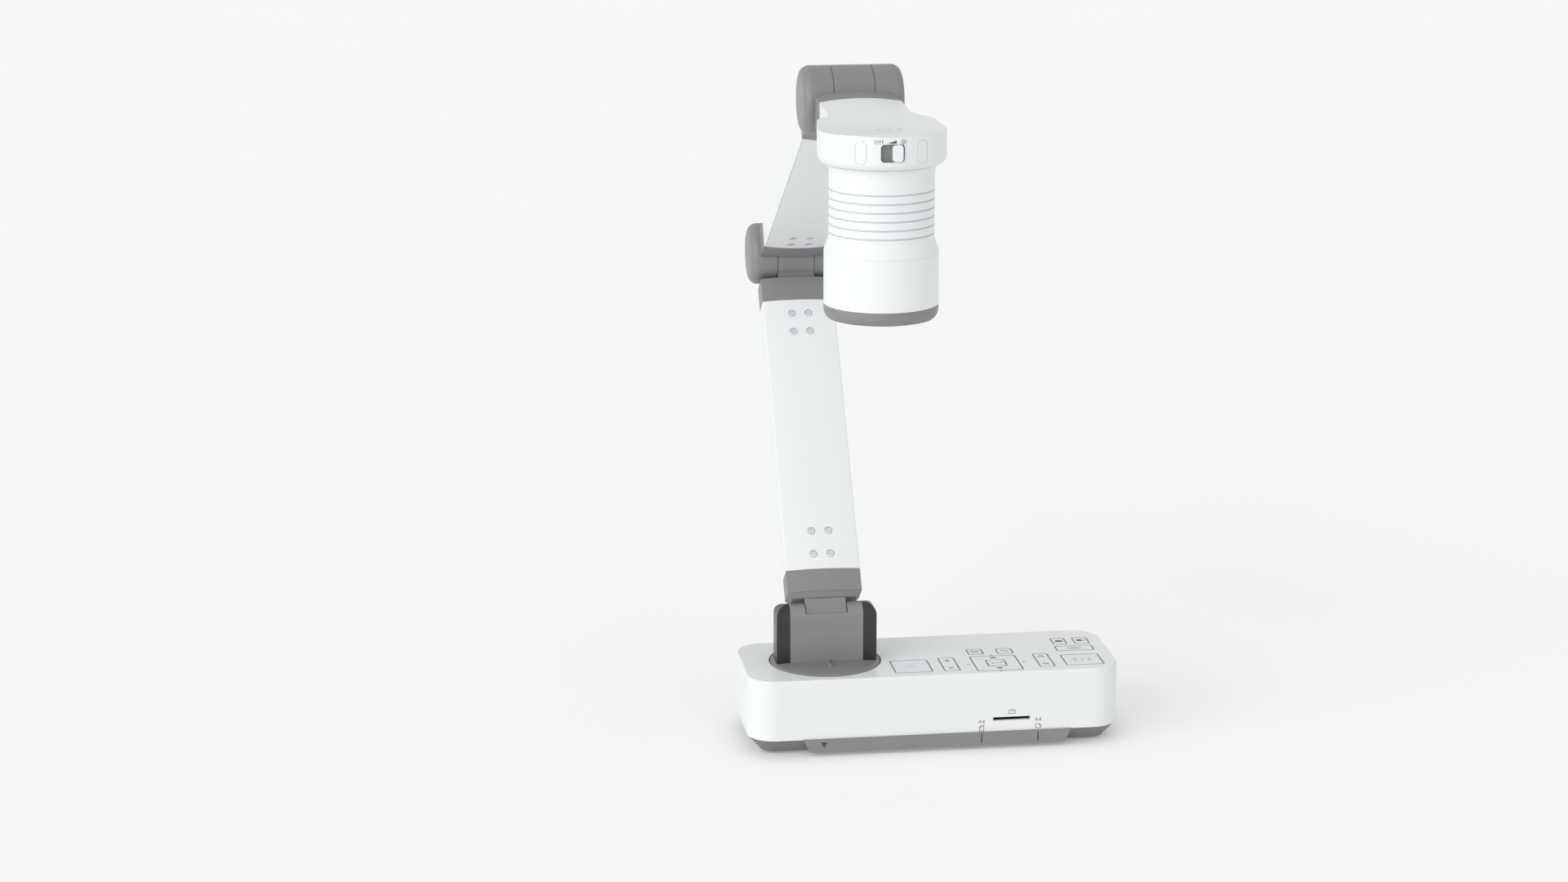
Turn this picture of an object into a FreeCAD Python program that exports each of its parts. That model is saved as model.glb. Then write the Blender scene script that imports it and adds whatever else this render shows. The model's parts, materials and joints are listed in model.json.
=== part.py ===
"""Document camera on a swivelling two-joint arm, modelled piece by piece.

Frame: millimetres, +Z up, +X to the right along the base, -Y towards the reader.
The origin is the middle of the base, on the surface that the feet stand on.
"""

import FreeCAD, Part
import math
import os

import Sketcher
from FreeCAD import Placement, Rotation, Vector

doc = FreeCAD.newDocument("document_camera")
sheet = doc.addObject("Spreadsheet::Sheet", "dims")

DIMENSIONS = {
    # base
    "base_width": 260, "base_depth": 90, "base_top": 55, "seam_height": 12.2,
    "tray_bottom": 2, "corner_radius": 19, "tray_inset": 9, "shell_wall": 2.4, "rim_radius": 0.9,
    "foot_radius": 7, "foot_height": 3, "foot_x": 104, "foot_y": 23,
    "screw_post_x": 115.8, "screw_post_y": 30.8, "screw_post_inner_x": 88.6,
    # turntable and hinge post
    "turret_x": -71.6, "disc_radius": 38.3, "disc_gap": 0.9, "disc_top": 56.4, "flange_radius": 41,
    "spindle_radius": 12, "shaft_fit": 0.05, "post_half_width": 35, "post_half_depth": 8.5,
    "post_cover_width": 9.5, "hinge_height": 88.1, "hinge_shaft_radius": 3,
    "tongue_half_width": 14.2, "tongue_radius": 7.2,
    # arms
    "arm_half_width": 26, "arm_edge": 9.2, "arm_crown": 2.2, "arm_wall": 2,
    "lower_length": 278.2, "lower_lean": 35.96, "upper_length": 301.05, "upper_tip": 60.54,
    "foot_block_low": 10, "foot_block_bevel": 3.5, "lower_cover_low": 29.7, "lower_cover_high": 235.5,
    "upper_cover_low": 42.5, "upper_cover_high": 256,
    "joint_radius": 22, "joint_reach": 24.6, "knuckle_half": 13, "joint_shaft_radius": 4,
    "side_gap": 0.3, "cap_thickness": 6.6, "cap_round": 6.2,
    "screw_head_radius": 2.5, "screw_shank_radius": 1.4,
    # camera head
    "head_forward": 123.2, "collar_radius": 39.1, "collar_height": 20.5, "collar_drop": 0.8,
    "collar_curve": 5.06, "collar_curve_top": 15.5, "collar_foot_radius": 34.8,
    "shoulder_right": 28.5, "shoulder_left": 25,
    "neck_half_width": 26, "head_rise": 8.3, "head_fade": 115, "neck_depth": 14.5,
    "head_block_low": 24.6, "head_block_high": 42.4, "head_wall": 2.2,
    "grip_radius": 32.2, "grip_bore": 29.8, "grip_flange_radius": 34, "grip_flare": 8.65,
    "groove_first": 36.1, "groove_pitch": 5.33, "groove_half_width": 0.55, "groove_depth": 0.45,
    "flare_top": 65.6, "flare_bottom": 73.7, "sleeve_top": 74.9, "sleeve_radius": 35.1,
    "ring_top": 106.7, "ring_edge": 109.9, "ring_bottom": 115.1, "ring_foot_radius": 33.2,
    "ring_curve": 7.01,
    # lamp switch
    "window_half_width": 7.2, "window_top": 4.0, "window_bottom": 14.8, "window_corner": 2.2,
    "knob_width": 6.3, "knob_margin": 0.9, "knob_gap": 0.25,
    # keys and sockets
    "key_gap": 0.28, "key_proud": 0.1, "key_corner": 1.2, "key_flange": 1,
    "board_height": 18, "board_thickness": 1.6, "keypad_height": 46.4,
    "slot_x": 52.4, "slot_width": 26, "slot_height": 2.4, "slot_z": 21.3,
}


class Size:
    """A length that carries its present value and the sheet formula that gives it."""

    def __init__(self, value, formula=None):
        self.value = float(value)
        self.formula = formula or f"({float(value)!r})"

    def __add__(self, other):
        other = size(other)
        return Size(self.value + other.value, f"({self.formula} + {other.formula})")

    def __sub__(self, other):
        other = size(other)
        return Size(self.value - other.value, f"({self.formula} - {other.formula})")

    def __mul__(self, factor):
        return Size(self.value * factor, f"({self.formula} * {factor!r})")

    def __truediv__(self, factor):
        return self * (1.0 / factor)

    def __neg__(self):
        return Size(-self.value, f"(0 - {self.formula})")

    def __radd__(self, other):
        return size(other) + self

    def __rsub__(self, other):
        return size(other) - self

    __rmul__ = __mul__


def size(number):
    return number if isinstance(number, Size) else Size(number)


class Dimensions:
    """Each cell of the sheet, read as a Size by its alias."""

    def __getattr__(self, alias):
        return Size(DIMENSIONS[alias], "dims." + alias)


for row, (alias, number) in enumerate(DIMENSIONS.items(), 1):
    sheet.set(f"A{row}", alias)
    sheet.set(f"B{row}", str(number))
    sheet.setAlias(f"B{row}", alias)
doc.recompute()
d = Dimensions()

nodes = {}


def keep(piece, label, placement=None):
    """Name a finished sub-part and put it in its place."""
    if placement is not None:
        if piece.TypeId in ("Part::Box", "Part::Cylinder"):
            piece = group(piece)
        piece.Placement = placement
    piece.Label = label
    nodes[label] = piece
    return piece


def bind(piece, formulas):
    for path, length in formulas.items():
        piece.setExpression(path, size(length).formula)


# ---------------------------------------------------------------- solids


def block(x, y, z):
    """A box between the low and the high of each axis."""
    solid = doc.addObject("Part::Box", "block")
    sides = {"Length": x, "Width": y, "Height": z}
    bind(solid, {side: size(span[1]) - span[0] for side, span in sides.items()})
    bind(solid, {"Placement.Base.x": x[0], "Placement.Base.y": y[0], "Placement.Base.z": z[0]})
    return solid


AXIS_TURN = {
    "x": Rotation(Vector(0, 1, 0), 90),
    "y": Rotation(Vector(1, 0, 0), -90),
    "z": Rotation(),
}


def rod(axis, start, centre, radius, length):
    """A cylinder along an axis from start, centred on the two other coordinates."""
    solid = doc.addObject("Part::Cylinder", "rod")
    solid.Placement = Placement(Vector(), AXIS_TURN[axis])
    bind(solid, {"Radius": radius, "Height": length})
    places = dict(zip([a for a in "xyz" if a != axis], centre))
    places[axis] = start
    bind(solid, {f"Placement.Base.{a}": place for a, place in places.items()})
    return solid


def fuse(*pieces):
    whole = doc.addObject("Part::MultiFuse", "fuse")
    whole.Shapes = list(pieces)
    whole.Refine = True
    return whole


def cut(base, *tools):
    result = doc.addObject("Part::Cut", "cut")
    result.Base = base
    result.Tool = tools[0] if len(tools) == 1 else group(*tools)
    result.Refine = True
    return result


def common(first, second):
    result = doc.addObject("Part::Common", "common")
    result.Base = first
    result.Tool = second
    return result


def group(*pieces):
    """Separate solids kept as one piece."""
    result = doc.addObject("Part::Compound", "group")
    result.Links = list(pieces)
    return result


def fillet(base, radius, wanted):
    """Round the edges that wanted(edge) picks."""
    doc.recompute()
    result = doc.addObject("Part::Fillet", "fillet")
    result.Base = base
    radius = size(radius).value
    picked = [i for i, edge in enumerate(base.Shape.Edges, 1) if wanted(edge)]
    result.Edges = [(i, radius, radius) for i in picked]
    return result


def chamfer(base, radius, wanted):
    doc.recompute()
    result = doc.addObject("Part::Chamfer", "chamfer")
    result.Base = base
    radius = size(radius).value
    picked = [i for i, edge in enumerate(base.Shape.Edges, 1) if wanted(edge)]
    result.Edges = [(i, radius, radius) for i in picked]
    return result


def runs_along(edge, axis):
    """True for a straight edge parallel to an axis."""
    if not isinstance(edge.Curve, Part.Line):
        return False
    return abs(getattr(edge.tangentAt(edge.FirstParameter), axis)) > 0.999


def lies_at(edge, axis, place):
    """True when every point of the edge has this coordinate."""
    box = edge.BoundBox
    low, high = getattr(box, axis.upper() + "Min"), getattr(box, axis.upper() + "Max")
    return abs(low - place) < 0.02 and abs(high - place) < 0.02


def rounded_block(x, y, z, radius, axis="z"):
    """A box with its four edges along one axis rounded."""
    return fillet(block(x, y, z), radius, lambda edge: runs_along(edge, axis))


def mirrored(piece, normal=Vector(1, 0, 0)):
    result = doc.addObject("Part::Mirroring", "mirror")
    result.Source = piece
    result.Normal = normal
    return result


def copies(piece, places):
    """Separate copies of one piece, each at its own place."""
    doc.recompute()
    shapes = []
    for place in places:
        shape = piece.Shape.copy()
        shape.Placement = place.multiply(shape.Placement)
        shapes.append(shape)
    result = doc.addObject("Part::Feature", "copies")
    result.Shape = Part.makeCompound(shapes)
    return result


# ---------------------------------------------------------------- sketched bodies


def new_body():
    return doc.addObject("PartDesign::Body", "body")


def new_sketch(body, plane, offset=0):
    """A sketch on one of the body's origin planes, moved along its normal."""
    sketch = body.newObject("Sketcher::SketchObject", "sketch")
    origin = [f for f in body.Origin.OriginFeatures if f.Role == plane][0]
    sketch.AttachmentSupport = [(origin, "")]
    sketch.MapMode = "FlatFace"
    bind(sketch, {"AttachmentOffset.Base.z": offset})
    return sketch


def pin_point(sketch, geometry, vertex, x, y):
    """Hold one vertex at formula-bound coordinates."""
    for kind, axis_line, place in (("DistanceX", -2, x), ("DistanceY", -1, y)):
        place = size(place)
        if abs(place.value) < 1e-9:
            sketch.addConstraint(Sketcher.Constraint("PointOnObject", geometry, vertex, axis_line))
        else:
            rule = Sketcher.Constraint(kind, -1, 1, geometry, vertex, place.value)
            index = sketch.addConstraint(rule)
            sketch.setExpression(f"Constraints[{index}]", place.formula)


def draw_outline(sketch, corners):
    """A closed outline. A corner is (x, y), or (x, y, radius) where an arc of that radius,
    bulging to the right of the way along, leads to the next corner; a negative radius
    makes it bulge to the left."""
    points = [Vector(size(c[0]).value, size(c[1]).value, 0) for c in corners]
    count = len(corners)
    ends = []
    for i, corner in enumerate(corners):
        here, there = points[i], points[(i + 1) % count]
        if len(corner) == 2:
            index = sketch.addGeometry(Part.LineSegment(here, there), False)
            ends.append((index, 1, 2))
            continue
        radius = size(corner[2])
        chord = there - here
        side = 1 if radius.value > 0 else -1
        left = Vector(-chord.y, chord.x, 0).normalize() * side
        reach = math.sqrt(max(radius.value ** 2 - (chord.Length / 2) ** 2, 0))
        centre = (here + there) * 0.5 + left * reach
        angles = [math.atan2(p.y - centre.y, p.x - centre.x) for p in (here, there)]
        if side < 0:
            angles.reverse()
        circle = Part.Circle(centre, Vector(0, 0, 1), abs(radius.value))
        index = sketch.addGeometry(Part.ArcOfCircle(circle, *angles), False)
        rule = sketch.addConstraint(Sketcher.Constraint("Radius", index, abs(radius.value)))
        sketch.setExpression(f"Constraints[{rule}]", (radius * side).formula)
        ends.append((index, 1, 2) if side > 0 else (index, 2, 1))
    for i in range(count):
        index, start, _ = ends[i]
        before, _, stop = ends[i - 1]
        sketch.addConstraint(Sketcher.Constraint("Coincident", before, stop, index, start))
        pin_point(sketch, index, start, corners[i][0], corners[i][1])


def pad(body, sketch, length, kind="PartDesign::Pad", reverse=False):
    feature = body.newObject(kind, "pad" if kind.endswith("Pad") else "pocket")
    feature.Profile = sketch
    feature.Reversed = reverse
    bind(feature, {"Length": length})
    sketch.Visibility = False
    return feature


def prism(corners, plane, start, stop):
    """An outline on a plane, drawn out along the plane's normal from start to stop."""
    body = new_body()
    sketch = new_sketch(body, plane, start)
    draw_outline(sketch, corners)
    pad(body, sketch, size(stop) - start)
    return body


def spun(corners):
    """An outline of (radius, height) points turned about Z."""
    body = new_body()
    sketch = new_sketch(body, "XZ_Plane")
    draw_outline(sketch, corners)
    turn = body.newObject("PartDesign::Revolution", "turn")
    turn.Profile = sketch
    turn.ReferenceAxis = (sketch, ["V_Axis"])
    turn.Angle = 360
    return body


def rounded_corners(half_x, half_y, radius):
    """The corners of a rounded rectangle about the origin, counter-clockwise."""
    a, b = half_x - radius, half_y - radius
    return [
        (-a, -half_y), (a, -half_y, radius),
        (half_x, -b), (half_x, b, radius),
        (a, half_y), (-a, half_y, radius),
        (-half_x, b), (-half_x, -b, radius),
    ]


def rounded_loft(body, kind, top, bottom):
    """A loft between two rounded rectangles, each (height, half_x, half_y, radius)."""
    sketches = []
    for height, half_x, half_y, radius in (top, bottom):
        sketch = new_sketch(body, "XY_Plane", height)
        draw_outline(sketch, rounded_corners(half_x, half_y, radius))
        sketches.append(sketch)
    loft = body.newObject(kind, "loft")
    loft.Profile = sketches[0]
    loft.Sections = [sketches[1]]
    loft.Ruled = True
    return loft


def crown_radius(half_width, crown):
    """Radius of the arc that rises by crown across twice half_width."""
    return Size(
        (half_width.value ** 2 + crown.value ** 2) / (2 * crown.value),
        f"(({half_width.formula} ^ 2 + {crown.formula} ^ 2) / (2 * {crown.formula}))",
    )


def crowned_bar(half_width, edge, low, high):
    """A bar along Z whose front and back faces bulge by the arm's crown."""
    bulge = crown_radius(half_width, d.arm_crown)
    corners = [
        (-half_width, -edge, bulge), (half_width, -edge),
        (half_width, edge, bulge), (-half_width, edge),
    ]
    return prism(corners, "XY_Plane", low, high)


# ---------------------------------------------------------------- base

WIDE = size(400)
half_base_x, half_base_y = d.base_width / 2, d.base_depth / 2
inner_top = d.base_top - d.shell_wall
turret_axis = (d.turret_x, 0)

# Keys on the base's top: middle x, middle y, width, depth.
KEYS = {
    "power_button": (-14.6, -23.2, 24.9, 26.3),
    "brightness_rocker": (12.3, -22.0, 9.8, 28.0),
    "menu_button": (35.4, 3.3, 9.4, 10.9),
    "return_button": (56.4, 2.6, 9.8, 10.4),
    "nav_pad": (45.4, -23.9, 30.9, 31.6),
    "enter_button": (45.4, -23.9, 11.7, 12.4),
    "zoom_rocker": (79.4, -21.8, 9.2, 28.2),
    "capture_button": (99.2, 19.6, 8.6, 12.9),
    "record_button": (115.1, 19.4, 9.2, 12.6),
    "preset_button": (106.8, 2.7, 25.3, 9.6),
    "focus_button": (106.4, -23.9, 25.2, 22.4),
}


def key_span(name, grow=0):
    x, y, width, depth = KEYS[name]
    return (
        (size(x - width / 2) - grow, size(x + width / 2) + grow),
        (size(y - depth / 2) - grow, size(y + depth / 2) + grow),
    )


def at_corners(x, y):
    return [(sx * x, sy * y) for sx in (-1, 1) for sy in (-1, 1)]


screw_posts = [
    (-d.screw_post_x, -d.screw_post_y), (-d.screw_post_x, d.screw_post_y),
    (d.screw_post_inner_x, -d.screw_post_y), (d.screw_post_x, d.screw_post_y),
]
foot_places = at_corners(d.foot_x, d.foot_y) + [(size(0), size(0))]


def make_bottom_tray():
    body = new_body()
    wall = d.shell_wall
    outer_top = (d.seam_height, half_base_x, half_base_y, d.corner_radius)
    outer_low = (
        d.tray_bottom, half_base_x - d.tray_inset, half_base_y - d.tray_inset,
        d.corner_radius - d.tray_inset,
    )
    rounded_loft(body, "PartDesign::AdditiveLoft", outer_top, outer_low)
    inner_high = (d.seam_height, half_base_x - wall, half_base_y - wall, d.corner_radius - wall)
    inner_low = (
        d.tray_bottom + wall, half_base_x - d.tray_inset - wall, half_base_y - d.tray_inset - wall,
        d.corner_radius - d.tray_inset - wall,
    )
    rounded_loft(body, "PartDesign::SubtractiveLoft", inner_high, inner_low)
    boss = 4.5
    bosses = [rod("z", 3, (x, y), boss, d.seam_height - 3) for x, y in screw_posts]
    tray = fuse(body, *bosses)
    feet = [rod("z", 1, (x, y), d.foot_radius, d.foot_height - 1) for x, y in foot_places]
    heads = [rod("z", 1, (x, y), 3.2, 4) for x, y in screw_posts]
    shanks = [rod("z", 1, (x, y), 1.6, 20) for x, y in screw_posts]
    keep(cut(tray, *feet, *heads, *shanks), "bottom_tray")


def make_top_case():
    body = new_body()
    outline = new_sketch(body, "XY_Plane", d.seam_height)
    draw_outline(outline, rounded_corners(half_base_x, half_base_y, d.corner_radius))
    solid = pad(body, outline, d.base_top - d.seam_height)
    doc.recompute()
    top = d.base_top.value
    rim = [f"Edge{i}" for i, e in enumerate(solid.Shape.Edges, 1) if lies_at(e, "z", top)]
    rounding = body.newObject("PartDesign::Fillet", "rim")
    rounding.Base = (solid, rim)
    bind(rounding, {"Radius": d.rim_radius})
    hollow = new_sketch(body, "XY_Plane", d.seam_height)
    inner = rounded_corners(
        half_base_x - d.shell_wall, half_base_y - d.shell_wall, d.corner_radius - d.shell_wall
    )
    draw_outline(hollow, inner)
    pad(body, hollow, inner_top - d.seam_height, "PartDesign::Pocket", reverse=True)
    posts = [
        cut(
            fuse(
                rod("z", d.seam_height, (x, y), 4, 30),
                rod("z", d.seam_height, (x, y), 2.5, inner_top - d.seam_height + 0.5),
            ),
            rod("z", d.seam_height, (x, y), d.screw_shank_radius, 16),
        )
        for x, y in screw_posts
    ]
    shell = fuse(body, *posts)
    hole = rod("z", 45, turret_axis, d.disc_radius + d.disc_gap, 20)
    keys = []
    for name in KEYS:
        if name != "enter_button":
            x, y = key_span(name, d.key_gap)
            keys.append(rounded_block(x, y, (inner_top - 2, d.base_top + 2), d.key_corner))
    half_slot = d.slot_width / 2
    slot = block(
        (d.slot_x - half_slot, d.slot_x + half_slot),
        (-half_base_y - 1, -half_base_y + d.shell_wall + 1),
        (d.slot_z - d.slot_height / 2, d.slot_z + d.slot_height / 2),
    )
    lamp = rod("z", inner_top - 2, STATUS_LAMP, 0.9, 6)
    keep(cut(shell, hole, *keys, slot, lamp, *port_windows()), "top_case")


STATUS_LAMP = (size(-14.5), size(-8.2))

# Sockets on the rear wall: middle x, window half width, window half height, height above board.
PORTS = {
    "power": (-10, 5, 5.2, 5.6),
    "hdmi_out": (11, 7.9, 3.1, 3.3),
    "hdmi_in": (33, 7.9, 3.1, 3.3),
    "usb_a": (55, 7.0, 3.6, 3.8),
    "usb_b": (74, 6.2, 5.6, 5.8),
    "audio_in": (90, 3.9, 3.9, 4.2),
    "audio_out": (102, 3.9, 3.9, 4.2),
}
board_top = d.board_height + d.board_thickness
ROUND_PORTS = ("audio_in", "audio_out", "power")


def port_windows():
    windows = []
    for name, (x, half_x, half_z, rise) in PORTS.items():
        z = board_top + rise
        if name in ROUND_PORTS:
            windows.append(rod("y", half_base_y - 5, (x, z), half_x, 10))
        else:
            spans = ((x - half_x, x + half_x), (half_base_y - 5, half_base_y + 5))
            windows.append(block(*spans, (z - half_z, z + half_z)))
    return windows


def socket_shell(name, mouth_x, mouth_z, depth, tongue, body_gap=0.3):
    """A rectangular socket: a shell with a mouth to the rear and a tongue inside."""
    x, half_x, half_z, rise = PORTS[name]
    z = board_top + rise
    back = half_base_y - 0.4
    outer_x, outer_z = half_x - body_gap, half_z - body_gap
    shell = block(
        (x - outer_x, x + outer_x), (back - depth - 1.5, back), (z - outer_z, z + outer_z)
    )
    mouth = block((x - mouth_x, x + mouth_x), (back - depth, back + 1), (z - mouth_z, z + mouth_z))
    tongue_x, tongue_low, tongue_high = tongue
    blade = block(
        (x - tongue_x, x + tongue_x), (back - depth - 0.5, back - 1),
        (z + tongue_low, z + tongue_high),
    )
    return fuse(cut(shell, mouth), blade)


def make_ports():
    hdmi = [socket_shell(n, 7.0, 2.3, 9.5, (5.5, -0.2, 0.7)) for n in ("hdmi_out", "hdmi_in")]
    keep(group(*hdmi), "hdmi_sockets")
    usb_a = socket_shell("usb_a", 6.3, 2.6, 11, (5.6, 0.3, 2.1))
    usb_b = socket_shell("usb_b", 4.25, 3.95, 11, (2.8, -1.6, 1.6))
    keep(group(usb_a, usb_b), "usb_sockets")
    jacks = []
    for name in ("audio_in", "audio_out"):
        x, radius, _, rise = PORTS[name]
        z = board_top + rise
        housing = fuse(
            block((x - 4, x + 4), (half_base_y - 18, half_base_y - 3), (board_top, z + 3.6)),
            rod("y", half_base_y - 4, (x, z), radius - 0.3, 3.8),
        )
        jacks.append(cut(housing, rod("y", half_base_y - 14.2, (x, z), 1.8, 20)))
    keep(group(*jacks), "audio_sockets")
    x, radius, _, rise = PORTS["power"]
    z = board_top + rise
    housing = fuse(
        block((x - 5.6, x + 5.6), (half_base_y - 15, half_base_y - 3), (board_top, z + 5)),
        rod("y", half_base_y - 4, (x, z), radius - 0.3, 3.8),
    )
    barrel = cut(housing, rod("y", half_base_y - 10.2, (x, z), 3.2, 20))
    keep(fuse(barrel, rod("y", half_base_y - 10.5, (x, z), 1.05, 8.5)), "power_inlet")
    half_slot = d.slot_width / 2
    case = block(
        (d.slot_x - half_slot - 1.2, d.slot_x + half_slot + 1.2),
        (-half_base_y + d.shell_wall + 0.2, -half_base_y + 32),
        (board_top, d.slot_z + d.slot_height / 2 + 1),
    )
    throat = block(
        (d.slot_x - half_slot, d.slot_x + half_slot), (-half_base_y, -half_base_y + 29),
        (d.slot_z - d.slot_height / 2, d.slot_z + d.slot_height / 2),
    )
    keep(cut(case, throat), "card_socket")


def make_base_fittings():
    feet = [rod("z", 0, (x, y), d.foot_radius, d.foot_height) for x, y in foot_places]
    keep(group(*[chamfer(f, 0.6, lambda e: lies_at(e, "z", 0)) for f in feet]), "rubber_feet")
    head = rod("z", 3.2, (0, 0), 2.9, 1.8)
    shank = rod("z", 4.9, (0, 0), d.screw_shank_radius, 20)
    drive = [block((-1.8, 1.8), (-0.35, 0.35), (3, 4)), block((-0.35, 0.35), (-1.8, 1.8), (3, 4))]
    screw = cut(fuse(head, shank), *drive)
    places = [Placement(Vector(x.value, y.value, 0), Rotation()) for x, y in screw_posts]
    keep(copies(screw, places), "base_screws")
    floor = d.tray_bottom + d.shell_wall
    keep(
        rounded_block((-40, 104), (-24, 28), (floor + 0.05, floor + 8.05), 4), "ballast_plate"
    )
    board = block((-34, 104), (-40, half_base_y - 5), (d.board_height, board_top))
    pillars = [
        rod("z", floor + 8.1, (x, y), 3, d.board_height - floor - 8.1)
        for x, y in ((-30, -20), (-30, 24), (98, -20), (98, 24))
    ]
    chips = [
        block((10, 30), (-16, 4), (board_top, board_top + 2)),
        block((66, 80), (-10, 4), (board_top, board_top + 1.5)),
    ]
    relief = [rod("z", 10, (x, y), 4.6, 50) for x, y in screw_posts if x.value > 0]
    keep(fuse(cut(board, *relief), *pillars, *chips), "main_board")
    keypad = d.keypad_height
    plate = block((-30, 121.5), (-37.5, 28), (keypad, keypad + 1.6))
    relief = [rod("z", keypad - 1, (x, y), 3.2, 4) for x, y in screw_posts if x.value > 0]
    domes = []
    for name, (x, y, width, depth) in KEYS.items():
        ends = [y - depth / 3, y + depth / 3] if depth > 20 and width < 20 else [y]
        if name == "nav_pad":
            ends = [y - 12, y + 12]
        domes += [rod("z", keypad + 1.6, (x, end), 2, 1) for end in ends]
    keep(fuse(cut(plate, *relief), *domes), "keypad_board")
    pipe = rod("z", keypad + 1.6, STATUS_LAMP, 0.8, d.base_top - keypad - 1.5)
    keep(pipe, "status_lamp")


def make_paper_guide():
    """The strip along the base's front that the sheet of paper is pushed against."""
    front = -half_base_y - 1.2
    low, high = size(3.2), size(12.5)
    slope_back = -half_base_y + (d.seam_height - low) * (9 / 10.2)
    profile = [
        (front, low), (slope_back, low), (-half_base_y, d.seam_height),
        (-half_base_y, high), (front, high),
    ]
    strip = prism(profile, "YZ_Plane", -100, 100)
    mask = prism(
        [(-93.2, high), (-88.7, low), (90.4, low), (94.4, high)], "XZ_Plane", 30, 60
    )
    depth = 0.45
    marks = [
        block((x - 0.4, x + 0.4), (front - 1, front + depth), (4.6, 11.3)) for x in (31.3, 71.0)
    ]
    pointer = prism(
        [(-81.0, 10.3), (-78.7, 5.9), (-76.4, 10.3)], "XZ_Plane", half_base_y + 1.2 - depth, 50
    )
    keep(cut(common(strip, mask), *marks, pointer), "paper_guide")


# ---------------------------------------------------------------- turret


def make_turret():
    bearing_bore = d.spindle_radius + d.shaft_fit
    floor = d.tray_bottom + d.shell_wall
    bearing = fuse(
        rod("z", floor, turret_axis, 20, 45),
        rod("z", floor + 42, turret_axis, 28, 3),
        rod("z", floor, turret_axis, 27, 3),
    )
    bores = [
        rod("z", floor - 1, turret_axis, bearing_bore, 60),
        rod("z", floor - 1, turret_axis, 15, 13.8),
    ]
    keep(cut(bearing, *bores), "swivel_bearing")

    top = d.disc_top
    spindle = d.spindle_radius
    profile = [
        (6, 12), (8, 12), (8, 17), (spindle, 17), (spindle, 50), (d.flange_radius, 50),
        (d.flange_radius, 52), (d.disc_radius, 52), (d.disc_radius, 54.7),
        (d.disc_radius - 0.5, 55.3), (d.disc_radius - 2.6, top - 0.5),
        (d.disc_radius - 9, top - 0.1), (10, top), (6, top),
    ]
    disc = spun(profile)
    disc.Placement = Placement(Vector(d.turret_x.value, 0, 0), Rotation())
    x = d.turret_x
    seat = block(
        (x - d.post_half_width - 0.1, x + d.post_half_width + 0.1),
        (-d.post_half_depth - 0.1, d.post_half_depth + 0.1), (POST_LOW, 60),
    )
    nub = fuse(
        rod("y", -19, (x + 1, top), 1.3, 19 - d.post_half_depth - 0.1),
        rod("z", top - 1, (x + 1, -19), 1.3, 1.6),
    )
    keep(fuse(cut(disc, seat), nub), "turntable")
    keep(
        cut(rod("z", 12, turret_axis, 14.4, 4.6), rod("z", 10, turret_axis, 8, 10)), "swivel_nut"
    )


POST_LOW = size(55.2)


def arch(half_depth, x_low, x_high):
    """An upright slab with a round top about the hinge axis."""
    return fuse(
        block((x_low, x_high), (-half_depth, half_depth), (POST_LOW, d.hinge_height)),
        rod("x", x_low, (0, d.hinge_height), half_depth, size(x_high) - x_low),
    )


def make_hinge_post():
    place = Placement(Vector(d.turret_x.value, 0, 0), Rotation())
    middle = d.post_half_width - d.post_cover_width
    post = arch(d.post_half_depth, -middle, middle)
    slot = d.tongue_half_width + 0.6
    hollow = d.tongue_radius + 0.35
    axis_z = d.hinge_height
    tools = [
        rod("x", -slot, (0, axis_z), hollow, slot * 2),
        block((-slot, slot), (-20, 20), (axis_z + 2.9, axis_z + 20)),
        block((-slot, slot), (0, 20), (axis_z - hollow, axis_z + 20)),
        rod("x", -50, (0, axis_z), d.hinge_shaft_radius, 100),
        rod("z", 50, (0, 0), 4, 32),
    ]
    keep(cut(post, *tools), "hinge_post", place)

    corner = size(7.5)
    top = d.hinge_height + d.post_half_depth
    outer = d.post_half_width
    front_view = prism(
        [(middle, POST_LOW), (outer, POST_LOW), (outer, top - corner, corner),
         (outer - corner, top), (middle, top)],
        "XZ_Plane", -20, 20,
    )
    cover = common(arch(d.post_half_depth, middle, outer), front_view)
    keep(group(cover, mirrored(cover)), "post_side_covers", place)
    shaft = rod("x", -middle + 0.1, (0, axis_z), d.hinge_shaft_radius, middle * 2 - 0.2)
    keep(shaft, "shoulder_shaft", place)


# ---------------------------------------------------------------- arms

lower_place = Placement(
    Vector(d.turret_x.value, 0, d.hinge_height.value), Rotation(Vector(1, 0, 0), -d.lower_lean.value)
)
elbow = lower_place.multVec(Vector(0, 0, d.lower_length.value))
upper_place = Placement(elbow, Rotation(Vector(1, 0, 0), d.upper_tip.value))
wrist = upper_place.multVec(Vector(0, 0, d.upper_length.value))
head_place = Placement(wrist - Vector(0, 0, d.collar_drop.value), Rotation())

SEAM = d.arm_edge - d.arm_wall
LOWER_COLUMNS = (-6.0, 6.0)
UPPER_COLUMNS = (-7.6, 4.6)


def tenon(low, high):
    """The tongue of a bracket that the arm's covers close over."""
    inner = d.arm_wall + 0.2
    bar = crowned_bar(d.arm_half_width - inner, d.arm_edge - inner, low, high)
    return cut(bar, block((-WIDE, WIDE), (-1, WIDE), (low - 1, high + 1)))


def screw_tools(rows, columns, radius, depth):
    """Holes into the arm's front face at both columns of each row."""
    face = d.arm_edge + d.arm_crown
    return [rod("y", -face - 1, (x, z), radius, size(depth) + 1) for z in rows for x in columns]


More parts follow.
